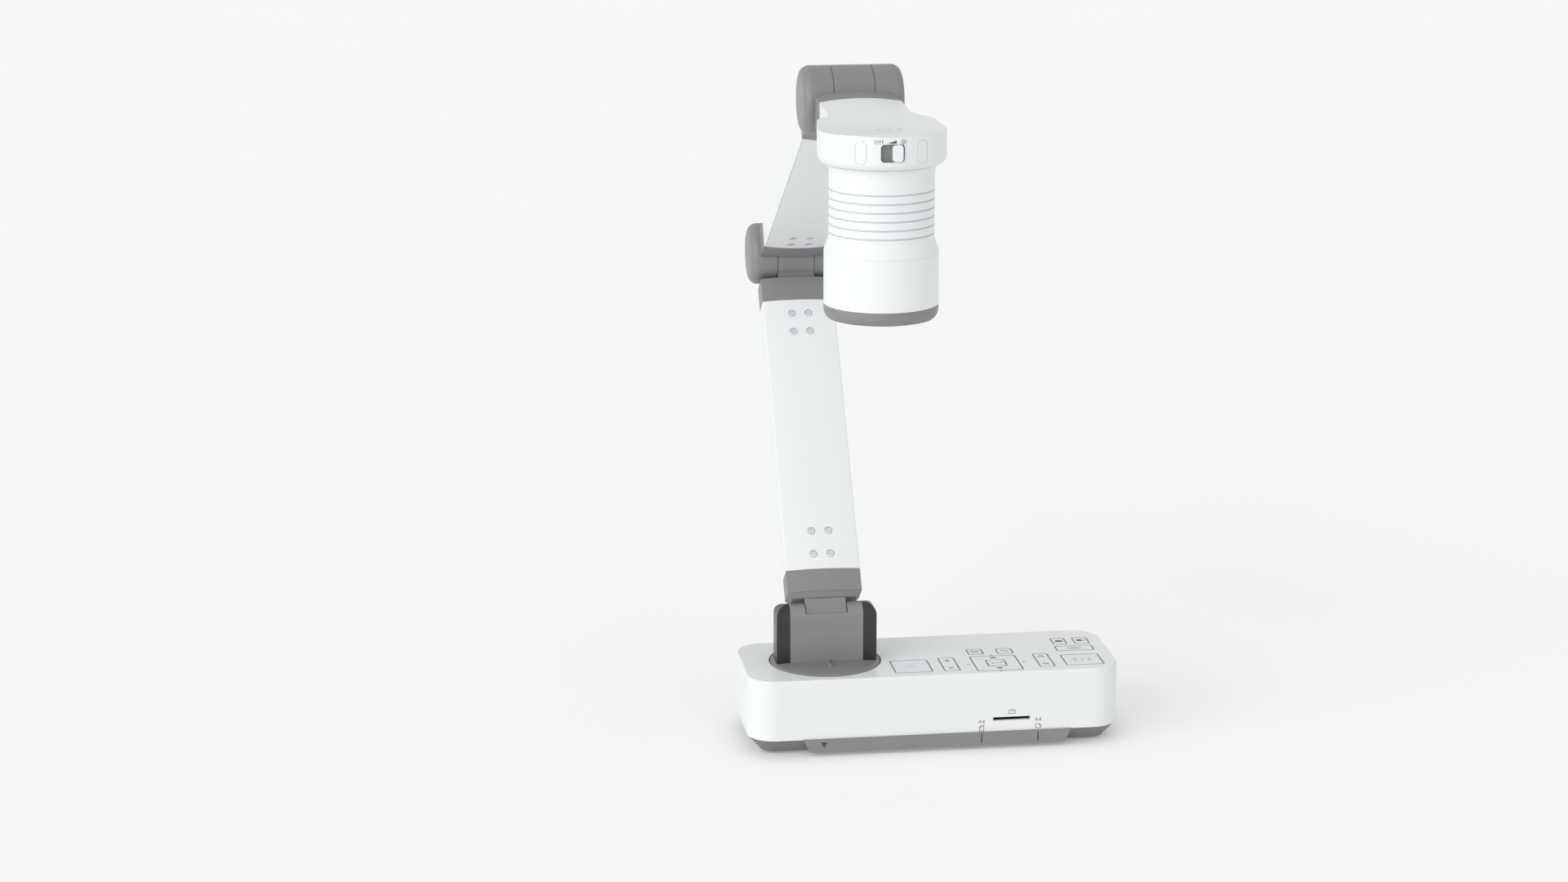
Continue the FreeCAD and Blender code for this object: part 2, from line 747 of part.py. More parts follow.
def arm_screw():
    face = d.arm_edge + d.arm_crown
    head = rod("y", -face + 0.45, (0, 0), d.screw_head_radius, 0.75)
    head = fillet(head, 0.4, lambda e: lies_at(e, "y", -face.value + 0.45))
    shank = rod("y", -face + 1.1, (0, 0), d.screw_shank_radius, 6)
    low = -face
    drive = [
        block((-1.4, 1.4), (low, low + 0.9), (-0.3, 0.3)),
        block((-0.3, 0.3), (low, low + 0.9), (-1.4, 1.4)),
    ]
    return cut(fuse(head, shank), *drive)


def make_arm_covers(low, high, rows, columns, front_name, rear_name, place):
    """The two halves of an arm's white skin, split along a seam near its rear face."""
    wall = d.arm_wall
    tube = cut(
        crowned_bar(d.arm_half_width, d.arm_edge, low, high),
        crowned_bar(d.arm_half_width - wall, d.arm_edge - wall, low - 1, high + 1),
    )
    everywhere_x, everywhere_z = (-WIDE, WIDE), (low - 1, high + 1)
    front = cut(
        tube,
        block(everywhere_x, (SEAM, WIDE), everywhere_z),
        *screw_tools(rows, columns, d.screw_head_radius + 0.25, 1.2),
        *screw_tools(rows, columns, d.screw_shank_radius + 0.2, 4),
    )
    rear = cut(tube, block(everywhere_x, (-WIDE, SEAM), everywhere_z))
    side = d.arm_half_width.value

    def is_corner(edge, y):
        outer = abs(abs(edge.CenterOfMass.x) - side) < 0.1
        return outer and runs_along(edge, "z") and lies_at(edge, "y", y)

    corner = d.arm_edge.value
    keep(fillet(front, 0.9, lambda edge: is_corner(edge, -corner)), front_name, place)
    keep(fillet(rear, 0.9, lambda edge: is_corner(edge, corner)), rear_name, place)


def make_arm_channel(low, high, name, place):
    """The folded steel channel that joins an arm's two brackets."""
    web = block((-20, 20), (-0.8, SEAM - 0.4), (low, high))
    space = block((-18.5, 18.5), (0.7, 20), (low - 1, high + 1))
    slots = [rod("y", -5, (0, z), 4, 10) for z in (low + 60, (low + high) / 2, high - 60)]
    keep(cut(web, space, *slots), name, place)


def make_arm_screws(rows, columns, name, place):
    screw = arm_screw()
    places = [
        place.multiply(Placement(Vector(x, 0, size(z).value), Rotation()))
        for z in rows for x in columns
    ]
    keep(copies(screw, places), name)


def make_knuckle(length, block_low, block_high, tenon_low):
    """A bracket with the joint's middle barrel at its far end."""
    half = d.knuckle_half
    barrel = rod("x", -half, (0, length), d.joint_radius, half * 2)
    barrel = chamfer(barrel, 0.4, lambda e: lies_at(e, "x", half.value) or lies_at(e, "x", -half.value))
    web = block((-half, half), (-d.arm_edge, d.arm_edge), (block_high - 1, length))
    solid = crowned_bar(d.arm_half_width, d.arm_edge, block_low, block_high)
    bore = rod("x", -WIDE, (0, length), d.joint_shaft_radius + d.shaft_fit, WIDE * 2)
    return cut(fuse(barrel, web, solid, tenon(tenon_low, block_low + 0.5)), bore)


def ear(low_x, centre_z, web_z):
    """One outer barrel of a joint with the web that ties it to its bracket."""
    width = d.arm_half_width - low_x
    barrel = rod("x", low_x, (0, centre_z), d.joint_radius, width)
    barrel = chamfer(barrel, 0.4, lambda e: lies_at(e, "x", size(low_x).value))
    web = block((low_x, d.arm_half_width), (-d.arm_edge, d.arm_edge), web_z)
    return fuse(barrel, web)


def make_fork(centre_z, block_span, web_span, tenon_span):
    """A bracket with the joint's two outer barrels."""
    side = ear(d.knuckle_half + d.side_gap, centre_z, web_span)
    solid = crowned_bar(d.arm_half_width, d.arm_edge, *block_span)
    bore = rod("x", -WIDE, (0, centre_z), d.joint_shaft_radius, WIDE * 2)
    return cut(fuse(side, mirrored(side), solid, tenon(*tenon_span)), bore)


LOWER_ROWS = (40.9, 57.9, 210.6, 224.8)
UPPER_ROWS = (50.0, 63.0, 235.0, 248.0)


def make_lower_arm():
    length = d.lower_length
    low = d.foot_block_low
    foot = crowned_bar(d.arm_half_width, d.arm_edge, low, d.lower_cover_low)
    tongue = fuse(
        rod("x", -d.tongue_half_width, (0, 0), d.tongue_radius, d.tongue_half_width * 2),
        block((-d.tongue_half_width, d.tongue_half_width), (-6.8, 6.8), (0, low + 1)),
        chamfer(foot, d.foot_block_bevel, lambda e: lies_at(e, "z", low.value)),
        tenon(d.lower_cover_low - 0.5, 66),
    )
    bore = rod("x", -WIDE, (0, 0), d.hinge_shaft_radius + d.shaft_fit, WIDE * 2)
    holes = screw_tools(LOWER_ROWS[:2], LOWER_COLUMNS, d.screw_shank_radius, 9)
    keep(cut(tongue, bore, *holes), "lower_arm_foot", lower_place)
    knuckle = make_knuckle(length, d.lower_cover_high, length - d.joint_reach, 202)
    holes = screw_tools(LOWER_ROWS[2:], LOWER_COLUMNS, d.screw_shank_radius, 9)
    keep(cut(knuckle, *holes), "lower_arm_knuckle", lower_place)
    make_arm_covers(
        d.lower_cover_low, d.lower_cover_high, LOWER_ROWS, LOWER_COLUMNS,
        "lower_arm_front_cover", "lower_arm_rear_cover", lower_place,
    )
    make_arm_channel(size(31), size(234), "lower_arm_channel", lower_place)
    make_arm_screws(LOWER_ROWS, LOWER_COLUMNS, "lower_arm_screws", lower_place)


def make_upper_arm():
    length = d.upper_length
    reach = d.joint_reach
    fork = make_fork(
        size(0), (reach, d.upper_cover_low), (0, reach + 1), (d.upper_cover_low - 0.5, 74)
    )
    holes = screw_tools(UPPER_ROWS[:2], UPPER_COLUMNS, d.screw_shank_radius, 9)
    keep(cut(fork, *holes), "upper_arm_elbow_fork", upper_place)
    fork = make_fork(
        length, (d.upper_cover_high, length - reach), (length - reach - 1, length),
        (224, d.upper_cover_high + 0.5),
    )
    holes = screw_tools(UPPER_ROWS[2:], UPPER_COLUMNS, d.screw_shank_radius, 9)
    keep(cut(fork, *holes), "upper_arm_wrist_fork", upper_place)
    make_arm_covers(
        d.upper_cover_low, d.upper_cover_high, UPPER_ROWS, UPPER_COLUMNS,
        "upper_arm_under_cover", "upper_arm_top_cover", upper_place,
    )
    make_arm_channel(size(44), size(254), "upper_arm_channel", upper_place)
    make_arm_screws(UPPER_ROWS, UPPER_COLUMNS, "upper_arm_screws", upper_place)

    side = d.arm_half_width
    outer = side + d.cap_thickness
    cap = rod("x", side, (0, 0), d.joint_radius, d.cap_thickness)
    cap = fillet(cap, d.cap_round, lambda e: lies_at(e, "x", outer.value))
    pair = group(cap, mirrored(cap))
    ends = [upper_place.multiply(Placement(Vector(0, 0, z), Rotation())) for z in (0, length.value)]
    keep(copies(pair, ends), "joint_caps")
    shaft = rod("x", -side + 0.2, (0, 0), d.joint_shaft_radius, side * 2 - 0.4)
    keep(copies(shaft, ends), "joint_shafts")


# ---------------------------------------------------------------- camera head
# In the head's own frame the origin is just below the wrist's axis, level with the collar's top.

lens_axis = (size(0), -d.head_forward)


TURN = math.radians(60)


def shoulder(lean, reach):
    """One side of the head behind the lens axis: a run that leans in, then a double bend.

    Gives the ends of the run, the middle and end of the bend, and the bend's radius."""
    cosine, sine = math.cos(math.radians(lean)), math.sin(math.radians(lean))
    radius = d.collar_radius - (d.neck_half_width + reach * sine) / cosine
    start = (d.collar_radius * cosine, d.collar_radius * sine)
    stop = (start[0] - reach * sine, start[1] + reach * cosine)
    middle = (stop[0] - radius * (cosine - 0.5), stop[1] + radius * (math.sin(TURN) - sine))
    end = (d.neck_half_width, middle[1] + radius * math.sin(TURN))
    return [start, stop, middle, end], radius


def head_outline():
    """The plan of the collar and neck, seen from above, counter-clockwise."""
    axis_y = -d.head_forward
    rear = -d.head_block_high

    def placed(points, side):
        return [(point[0] * side, point[1] + axis_y) for point in points]

    points, bend = shoulder(2.2, d.shoulder_right)
    start, stop, middle, end = placed(points, 1)
    corners = [(0, axis_y - d.collar_radius, d.collar_radius), start, (*stop, bend), (*middle, -bend), end]
    corners += [(d.neck_half_width, rear), (-d.neck_half_width, rear)]
    points, bend = shoulder(7.7, d.shoulder_left)
    start, stop, middle, end = placed(points, -1)
    return corners + [(*end, -bend), (*middle, bend), stop, (*start, d.collar_radius)]


def head_form():
    """Everything below the head's top surface: crowned over the wrist, flat over the lens."""
    half_width = size(45)
    slope = d.head_fade - d.head_block_low
    body = new_body()
    sections = []
    for share in (0, 0.35, 0.7, 0.88, 1, 1.15, 1.55):
        forward = d.head_block_low + slope * share
        fade = {0.88: 0.125, 1: 0.035}.get(share, max(1 - share, 0.004))
        sketch = new_sketch(body, "XZ_Plane", forward)
        bulge = crown_radius(half_width, d.head_rise * fade)
        edge = d.collar_drop * fade
        draw_outline(
            sketch,
            [(-half_width, -30), (half_width, -30), (half_width, edge, bulge), (-half_width, edge)],
        )
        sections.append(sketch)
    loft = body.newObject("PartDesign::AdditiveLoft", "loft")
    loft.Profile = sections[0]
    loft.Sections = sections[1:]
    return body


def make_head_cover():
    low = -d.collar_height
    curve_top = -d.collar_curve_top
    plan = common(prism(head_outline(), "XY_Plane", -d.neck_depth, 12), head_form())
    collar = spun(
        [(0, low), (d.collar_foot_radius, low, d.collar_curve), (d.collar_radius, curve_top),
         (d.collar_radius, 0), (0, 0)]
    )
    collar.Placement = Placement(Vector(0, -d.head_forward.value, 0), Rotation())
    solid = fuse(plan, group(collar))
    wall = d.head_wall
    grip_hole = rod("z", low - 1, lens_axis, d.grip_radius + 0.3, 10)
    chamber = rod("z", low + 2, lens_axis, d.grip_flange_radius + 0.4, d.collar_height - wall - 2)
    upper_chamber = rod("z", -16.2, lens_axis, d.collar_radius - wall, 16.2 - wall)
    neck = d.neck_half_width - wall
    duct = block(
        (-neck, neck), (-d.head_forward + 20, -d.head_block_high + 1), (-d.neck_depth, -wall)
    )
    window = rounded_block(
        (-d.window_half_width, d.window_half_width), (-d.head_forward - 45, -d.head_forward - 30),
        (-d.window_bottom, -d.window_top), d.window_corner, "y",
    )
    mic = [rod("z", -5, (x, -d.head_forward - 5), 1.1, 10) for x in (-2.9, 3.6, 9.8)]
    pads = [finger_groove(angle) for angle in (-28.5, 28.5)]
    solid = cut(solid, grip_hole, chamber, upper_chamber, duct, window, *mic, *pads)
    keep(solid, "head_top_cover", head_place)


def finger_groove(angle):
    """The thin oval line round a fingertip pad on the collar."""
    half_width, half_height, line, depth = 3.75, 7.3, 0.35, 0.15
    middle = -9.3
    ring = cut(oval(half_width, half_height, middle), oval(half_width - line, half_height - line, middle))
    skin = cut(
        rod("z", -30, (0, 0), d.collar_radius + 1, 40),
        rod("z", -31, (0, 0), d.collar_radius - depth, 42),
    )
    groove = common(ring, skin)
    turn = Rotation(Vector(0, 0, 1), angle)
    groove.Placement = Placement(Vector(0, -d.head_forward.value, 0), turn)
    return groove


def oval(half_width, half_height, middle):
    """An upright oval drawn out forwards from the lens axis."""
    straight = half_height - half_width
    corners = [
        (half_width, middle - straight), (half_width, middle + straight, half_width),
        (0, middle + half_height, half_width), (-half_width, middle + straight),
        (-half_width, middle - straight, half_width), (0, middle - half_height, half_width),
    ]
    return prism(corners, "XZ_Plane", 30, 45)


def make_head():
    half = d.knuckle_half
    barrel = rod("x", -half, (0, d.collar_drop), d.joint_radius, half * 2)
    barrel = chamfer(barrel, 0.4, lambda e: lies_at(e, "x", half.value) or lies_at(e, "x", -half.value))
    web = block((-half, half), (-d.head_block_low - 1, 0), (-d.neck_depth, 5))
    wide = d.neck_half_width
    solid = common(
        block((-wide, wide), (-d.head_block_high, -d.head_block_low), (-d.neck_depth, 12)), head_form()
    )
    inner = d.neck_half_width - d.head_wall - 0.3
    tenon_bar = block(
        (-inner, inner), (-70, -d.head_block_high + 0.5), (-d.neck_depth + 2.4, -d.head_wall - 0.3)
    )
    bore = rod("x", -WIDE, (0, d.collar_drop), d.joint_shaft_radius + d.shaft_fit, WIDE * 2)
    keep(cut(fuse(barrel, web, solid, tenon_bar), bore), "head_knuckle", head_place)
    make_head_cover()
    neck = d.neck_half_width - d.head_wall - 0.2
    floor = block(
        (-neck, neck), (-d.head_forward + 29.5, -d.head_block_high - 0.1),
        (-d.neck_depth, -d.neck_depth + 2),
    )
    keep(floor, "head_lower_cover", head_place)
    bezel = block(
        (-d.window_half_width - 1.4, d.window_half_width + 1.4),
        (-d.head_forward - 35.6, -d.head_forward - 34.4), (-d.window_bottom - 0.8, -d.window_top + 0.8),
    )
    keep(bezel, "switch_bezel", head_place)
    gap = d.knob_gap
    knob_right = d.window_half_width - d.knob_margin
    knob = rounded_block(
        (knob_right - d.knob_width, knob_right),
        (-d.head_forward - 40.2, -d.head_forward - 35.8),
        (-d.window_bottom + gap, -d.window_top - gap), 1.8, "y",
    )
    front = -d.head_forward.value - 40.2
    keep(fillet(knob, 0.6, lambda e: lies_at(e, "y", front)), "lamp_switch", head_place)


# ---------------------------------------------------------------- camera barrel
# Heights here run down from the collar's top; the outlines are drawn up from BARREL_LOW.

BARREL_LOW = d.ring_bottom
barrel_place = Placement(
    head_place.multVec(Vector(0, -d.head_forward.value, -BARREL_LOW.value)), Rotation()
)


def barrel_ring(points, name):
    """A turned ring given by (radius, depth below the collar's top) points."""
    corners = [(radius, BARREL_LOW - depth, *bulge) for radius, depth, *bulge in points]
    keep(spun(corners), name, barrel_place)


def make_grip():
    flange_top = size(16.6)
    flange_low = d.collar_height - 2.2
    outline = [
        (d.grip_bore, d.sleeve_top - 2), (d.grip_bore, flange_top),
        (d.grip_flange_radius, flange_top), (d.grip_flange_radius, flange_low),
        (d.grip_radius, flange_low), (d.grip_radius, d.collar_height + 0.35),
        (d.grip_radius + 2.1, d.collar_height + 0.35, d.grip_flare),
        (d.grip_radius, d.collar_height + 6),
    ]
    for number in range(6):
        middle = d.groove_first + d.groove_pitch * number
        outline += [
            (d.grip_radius, middle - d.groove_half_width),
            (d.grip_radius - d.groove_depth, middle - d.groove_half_width + 0.1),
            (d.grip_radius - d.groove_depth, middle + d.groove_half_width - 0.1),
            (d.grip_radius, middle + d.groove_half_width),
        ]
    outline += [
        (d.grip_radius, d.flare_top), (d.sleeve_radius, d.flare_bottom),
        (d.sleeve_radius, d.sleeve_top - 0.12), (d.sleeve_radius - 0.12, d.sleeve_top),
        (d.sleeve_radius - 2.2, d.sleeve_top), (d.sleeve_radius - 2.2, d.sleeve_top - 2),
    ]
    barrel_ring(outline, "barrel_grip")


def make_barrel():
    make_grip()
    outer, wall = d.sleeve_radius, size(2)
    barrel_ring(
        [
            (outer - wall, d.ring_top), (outer - wall, d.sleeve_top + 0.1),
            (outer - 0.12, d.sleeve_top + 0.1), (outer, d.sleeve_top + 0.22), (outer, d.ring_top),
        ],
        "barrel_sleeve",
    )
    barrel_ring(
        [
            (27, d.ring_top + 0.1), (outer, d.ring_top + 0.1), (outer, d.ring_edge, -d.ring_curve),
            (d.ring_foot_radius, d.ring_bottom - 0.4), (d.ring_foot_radius - 0.4, d.ring_bottom),
            (30.6, d.ring_bottom), (30.6, d.ring_bottom - 2.2), (27, d.ring_bottom - 2.2),
        ],
        "lens_ring",
    )
    base = BARREL_LOW
    axis = (size(0), size(0))

    def disc(radius, top, depth):
        return rod("z", base - top - depth, axis, radius, depth)

    keep(disc(30.5, d.ring_bottom - 2.1, 1.5), "front_window", barrel_place)
    keep(cut(disc(14, 58, 50), disc(11, 57, 60)), "lens_tube", barrel_place)
    lens = common(
        rod("z", base - 106, axis, 10.9, 6),
        sphere(Vector(0, 0, base.value - 106 + 34), 34),
    )
    keep(lens, "lens_glass", barrel_place)
    board_top_depth = 108.6
    board = cut(disc(26.96, board_top_depth, 1.6), disc(14.6, board_top_depth - 1, 4))
    lamps = []
    for number in range(12):
        angle = math.radians(30 * number)
        spot = (20.5 * math.cos(angle), 20.5 * math.sin(angle))
        lamps.append(rod("z", base - board_top_depth - 3, spot, 2.4, 1.4))
    keep(group(board, *lamps), "lamp_board", barrel_place)
    sensor = fuse(
        disc(d.grip_bore - 0.04, 56.3, 1.6),
        block((-7, 7), (-7, 7), (base - 59.5, base - 57.9)),
    )
    keep(sensor, "sensor_board", barrel_place)


def sphere(centre, radius):
    ball = doc.addObject("Part::Sphere", "sphere")
    ball.Placement = Placement(centre, Rotation())
    bind(ball, {"Radius": radius})
    return ball


# ---------------------------------------------------------------- keys

KEY_LOW = size(50)


def make_keys():
    top = d.base_top + d.key_proud
    for name in KEYS:
        x, y = key_span(name)
        if name == "enter_button":
            cap = rounded_block(x, y, (KEY_LOW - 0.2, top + 0.2), d.key_corner)
        else:
            x_flange, y_flange = key_span(name, d.key_flange)
            cap = fuse(
                rounded_block(x, y, (KEY_LOW + 1, top), d.key_corner),
                block(x_flange, y_flange, (KEY_LOW, KEY_LOW + 1.3)),
            )
        if name == "nav_pad":
            x_hole, y_hole = key_span("enter_button", 0.45)
            cap = cut(cap, rounded_block(x_hole, y_hole, (KEY_LOW - 1, 60), d.key_corner))
        doc.recompute()
        height = cap.Shape.BoundBox.ZMax
        cap = fillet(cap, 0.15, lambda e: lies_at(e, "z", height))
        keep(cap, name)
    x, y = key_span("enter_button", 2.6)
    x_hole, y_hole = key_span("enter_button", 0.7)
    low = d.keypad_height + 2.2
    ring = cut(block(x, y, (low, low + 0.8)), block(x_hole, y_hole, (low - 1, low + 2)))
    keep(ring, "nav_plate")


# ---------------------------------------------------------------- build and write


def check_document():
    doc.recompute()
    for thing in doc.Objects:
        if "Invalid" in thing.State or "Error" in thing.State:
            raise RuntimeError(f"{thing.Name} did not build: {thing.State}")
    for label, piece in nodes.items():
        if piece.Shape.isNull() or not piece.Shape.isValid() or not piece.Shape.Solids:
            raise RuntimeError(f"{label} has no sound shape")


def main():
    make_bottom_tray()
    make_top_case()
    make_ports()
    make_base_fittings()
    make_paper_guide()
    make_turret()
    make_hinge_post()
    make_lower_arm()
    make_upper_arm()
    make_head()
    make_barrel()
    make_keys()
    check_document()
    os.makedirs("parts", exist_ok=True)
    for label, piece in nodes.items():
        piece.Shape.exportStep(os.path.join("parts", label + ".step"))
    print(len(nodes), "sub-parts")


main()
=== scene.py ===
"""Looks of the document camera: moulded plastic, printed key symbols, studio light and camera."""

import json
import math

import bpy
from mathutils import Euler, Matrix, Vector


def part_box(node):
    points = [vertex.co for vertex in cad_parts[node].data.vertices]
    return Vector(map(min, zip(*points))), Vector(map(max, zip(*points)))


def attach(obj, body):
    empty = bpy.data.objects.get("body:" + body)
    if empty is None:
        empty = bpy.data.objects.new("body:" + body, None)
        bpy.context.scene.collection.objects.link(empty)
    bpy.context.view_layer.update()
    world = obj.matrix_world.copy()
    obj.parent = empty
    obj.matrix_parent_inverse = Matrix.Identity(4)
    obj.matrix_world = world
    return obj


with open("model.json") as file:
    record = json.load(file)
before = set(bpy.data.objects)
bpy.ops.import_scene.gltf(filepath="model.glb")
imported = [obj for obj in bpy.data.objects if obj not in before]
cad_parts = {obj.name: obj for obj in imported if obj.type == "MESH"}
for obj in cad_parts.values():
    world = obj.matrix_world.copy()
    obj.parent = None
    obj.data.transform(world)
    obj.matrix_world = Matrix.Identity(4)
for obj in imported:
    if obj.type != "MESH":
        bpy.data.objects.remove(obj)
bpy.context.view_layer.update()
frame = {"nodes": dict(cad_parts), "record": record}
NODES = frame["nodes"]
BODIES = frame["record"]["behaviour"]["bodies"]
JOINTS = {joint["name"]: joint for joint in frame["record"]["behaviour"]["joints"]}
MM = 0.001

# ------------------------------------------------------------------ materials

# How fine each kind of unevenness is, in waves to the metre.
MOTTLE_SCALE, GLOSS_SCALE, WEAR_SCALE = 38, 70, 240
GRAIN_HEIGHT = 0.08 * MM
GLOSS_SPREAD = 0.05


def new_material(name):
    material = bpy.data.materials.new(name)
    material.use_nodes = True
    tree = material.node_tree
    tree.nodes.clear()
    output = tree.nodes.new("ShaderNodeOutputMaterial")
    shader = tree.nodes.new("ShaderNodeBsdfPrincipled")
    tree.links.new(shader.outputs["BSDF"], output.inputs["Surface"])
    return material, tree, shader


def add_noise(tree, scale, detail=2.0, stretch=None):
    """A noise in the piece's own coordinates; stretch squeezes it along an axis."""
    place = tree.nodes.new("ShaderNodeTexCoord")
    source = place.outputs["Object"]
    if stretch:
        mapping = tree.nodes.new("ShaderNodeMapping")
        mapping.inputs["Scale"].default_value = stretch
        tree.links.new(source, mapping.inputs["Vector"])
        source = mapping.outputs["Vector"]
    noise = tree.nodes.new("ShaderNodeTexNoise")
    noise.inputs["Scale"].default_value = scale
    noise.inputs["Detail"].default_value = detail
    tree.links.new(source, noise.inputs["Vector"])
    return noise.outputs["Fac"]


def remap(tree, value, low, high, start=0.3, stop=0.7):
    node = tree.nodes.new("ShaderNodeMapRange")
    for socket, number in (("From Min", start), ("From Max", stop), ("To Min", low), ("To Max", high)):
        node.inputs[socket].default_value = number
    tree.links.new(value, node.inputs["Value"])
    return node.outputs["Result"]


def mix_colours(tree, factor, first, second):
    node = tree.nodes.new("ShaderNodeMix")
    node.data_type = "RGBA"
    tree.links.new(factor, node.inputs["Factor"])
    for socket, colour in (("A", first), ("B", second)):
        target = [s for s in node.inputs if s.name == socket and s.type == "RGBA"][0]
        if isinstance(colour, (tuple, list)):
            target.default_value = (*colour, 1.0)
        else:
            tree.links.new(colour, target)
    return [s for s in node.outputs if s.type == "RGBA"][0]


def scaled(colour, factor):
    return tuple(min(1.0, c * factor) for c in colour)


def edge_mask(tree, bevel, strength):
    """How far the surface bends within the bevel's radius: 0 on a flat face, more at an edge."""
    geometry = tree.nodes.new("ShaderNodeNewGeometry")
    dot = tree.nodes.new("ShaderNodeVectorMath")
    dot.operation = "DOT_PRODUCT"
    tree.links.new(bevel.outputs["Normal"], dot.inputs[0])
    tree.links.new(geometry.outputs["Normal"], dot.inputs[1])
    return remap(tree, dot.outputs["Value"], strength, 0.0, start=0.80, stop=0.985)


def moulded(
    name, colour, rough=0.42, mottle=0.02, grain=1.0, grain_scale=2600,
    wear=0.25, worn=None, edge=0.5, coat=0.0, metallic=0.0, stretch=None, soft_edges=True,
):
    """Moulded plastic, paint or metal: a faint mottle, fine grain, uneven gloss and rubbed edges.

    edge is the radius in millimetres that edges look rounded and rubbed to.
    """
    material, tree, shader = new_material(name)
    mottled = mix_colours(
        tree, add_noise(tree, MOTTLE_SCALE, 4, stretch),
        scaled(colour, 1 - mottle), scaled(colour, 1 + mottle),
    )
    bevel = tree.nodes.new("ShaderNodeBevel")
    bevel.samples = 4
    bevel.inputs["Radius"].default_value = edge * MM
    worn_mask = tree.nodes.new("ShaderNodeMath")
    worn_mask.operation = "MULTIPLY"
    tree.links.new(edge_mask(tree, bevel, wear), worn_mask.inputs[0])
    tree.links.new(remap(tree, add_noise(tree, WEAR_SCALE, 3), 0.2, 1.0), worn_mask.inputs[1])
    surface = mix_colours(tree, worn_mask.outputs[0], mottled, worn or scaled(colour, 1.25))
    tree.links.new(surface, shader.inputs["Base Color"])
    tree.links.new(
        remap(
            tree, add_noise(tree, GLOSS_SCALE, 5, stretch), rough - GLOSS_SPREAD, rough + GLOSS_SPREAD
        ),
        shader.inputs["Roughness"],
    )
    bump = tree.nodes.new("ShaderNodeBump")
    bump.inputs["Strength"].default_value = 0.35 * grain
    bump.inputs["Distance"].default_value = GRAIN_HEIGHT
    tree.links.new(add_noise(tree, grain_scale, 2, stretch), bump.inputs["Height"])
    if soft_edges:
        tree.links.new(bevel.outputs["Normal"], bump.inputs["Normal"])
    tree.links.new(bump.outputs["Normal"], shader.inputs["Normal"])
    shader.inputs["Coat Weight"].default_value = coat
    shader.inputs["Coat Roughness"].default_value = 0.12
    shader.inputs["Metallic"].default_value = metallic
    return material


def printed(name, colour, mottle=0.06, rough=0.5):
    return moulded(name, colour, rough=rough, mottle=mottle, grain=0.3, edge=0.05, wear=0.1)


def clear(name, colour, rough, ior=1.49):
    """Glass or clear plastic with a faint film of dust in its gloss."""
    material, tree, shader = new_material(name)
    tree.links.new(
        mix_colours(tree, add_noise(tree, 60, 3), scaled(colour, 0.97), colour),
        shader.inputs["Base Color"],
    )
    tree.links.new(
        remap(tree, add_noise(tree, 120, 5), rough, rough + 0.06), shader.inputs["Roughness"]
    )
    shader.inputs["IOR"].default_value = ior
    shader.inputs["Transmission Weight"].default_value = 1.0
    return material


def glowing(name, colour, strength):
    material, tree, shader = new_material(name)
    tint = mix_colours(tree, add_noise(tree, 900, 2), scaled(colour, 0.8), colour)
    tree.links.new(tint, shader.inputs["Base Color"])
    tree.links.new(tint, shader.inputs["Emission Color"])
    shader.inputs["Emission Strength"].default_value = strength
    shader.inputs["Roughness"].default_value = 0.3
    return material


WHITE = (0.715, 0.742, 0.748)
GREY = (0.208, 0.208, 0.208)

white = moulded(
    "white_shell", WHITE, rough=0.36, mottle=0.012, grain=0.8, wear=0.2, worn=(0.82, 0.84, 0.84)
)
barrel_white = moulded(
    "barrel_white", scaled(WHITE, 1.02), rough=0.36, mottle=0.012, grain=0.8, wear=0.2,
    worn=(0.84, 0.86, 0.86), soft_edges=False,
)
key_white = moulded(
    "key_white", scaled(WHITE, 0.99), rough=0.40, mottle=0.01, grain=0.5, edge=0.2, wear=0.3
)
grey = moulded(
    "grey_joint", GREY, rough=0.44, mottle=0.03, grain=1.2, wear=0.35, worn=(0.33, 0.33, 0.33)
)
# A darker copy of the joints' grey: painted shade on the tray's downward-facing sides.
tray_shaded_grey = moulded("tray_shaded_grey", scaled(GREY, 0.82), rough=0.46, mottle=0.03, grain=1.2, wear=0.3)
# Painted shade for the gaps beside the hinge knuckles.
washer_shade_grey = moulded("washer_shade_grey", scaled(GREY, 0.62), rough=0.5, mottle=0.05, grain=0.5, edge=0.1)
charcoal = moulded(
    "charcoal_gloss", (0.016, 0.016, 0.017), rough=0.34, mottle=0.05, grain=0.25, wear=0.4,
    worn=(0.05, 0.05, 0.05), coat=0.12,
)
black = moulded("black_plastic", (0.012, 0.012, 0.012), rough=0.5, mottle=0.05, grain=1.0)
rubber = moulded(
    "foot_rubber", (0.02, 0.02, 0.02), rough=0.75, mottle=0.08, grain=2.0, grain_scale=1200
)
steel = moulded(
    "brushed_steel", (0.55, 0.55, 0.56), rough=0.30, metallic=1.0, grain=1.0, stretch=(1, 1, 12)
)
nickel = moulded("nickel_shell", (0.62, 0.60, 0.57), rough=0.24, metallic=1.0, grain=0.4)
zinc = moulded("zinc_screw", (0.72, 0.73, 0.74), rough=0.36, metallic=0.6, grain=0.5, edge=0.15)
dark_screw = moulded(
    "blacked_screw", (0.03, 0.03, 0.03), rough=0.38, metallic=0.7, grain=0.5, edge=0.15
)
board = moulded("board_lacquer", (0.012, 0.10, 0.045), rough=0.28, mottle=0.15, grain=0.6, coat=0.4)
tube_black = moulded("tube_black", (0.015, 0.015, 0.016), rough=0.55, mottle=0.1, grain=1.5)
pane = clear("front_pane", (0.93, 0.95, 0.95), 0.03)
lens_glass = clear("lens_glass", (0.55, 0.55, 0.78), 0.01, ior=1.6)
lamp = glowing("lamp_diffuser", (0.95, 0.93, 0.80), 0.25)
indicator = glowing("status_lamp_clear", (0.62, 0.72, 0.82), 0.08)
ink = printed("printed_ink", (0.055, 0.055, 0.06), mottle=0.08)
# Dark grey for printed symbols, and for the painted shade lines round the keys.
line_ink_and_shade = printed("printed_and_shade_line", (0.10, 0.10, 0.105), mottle=0.08)
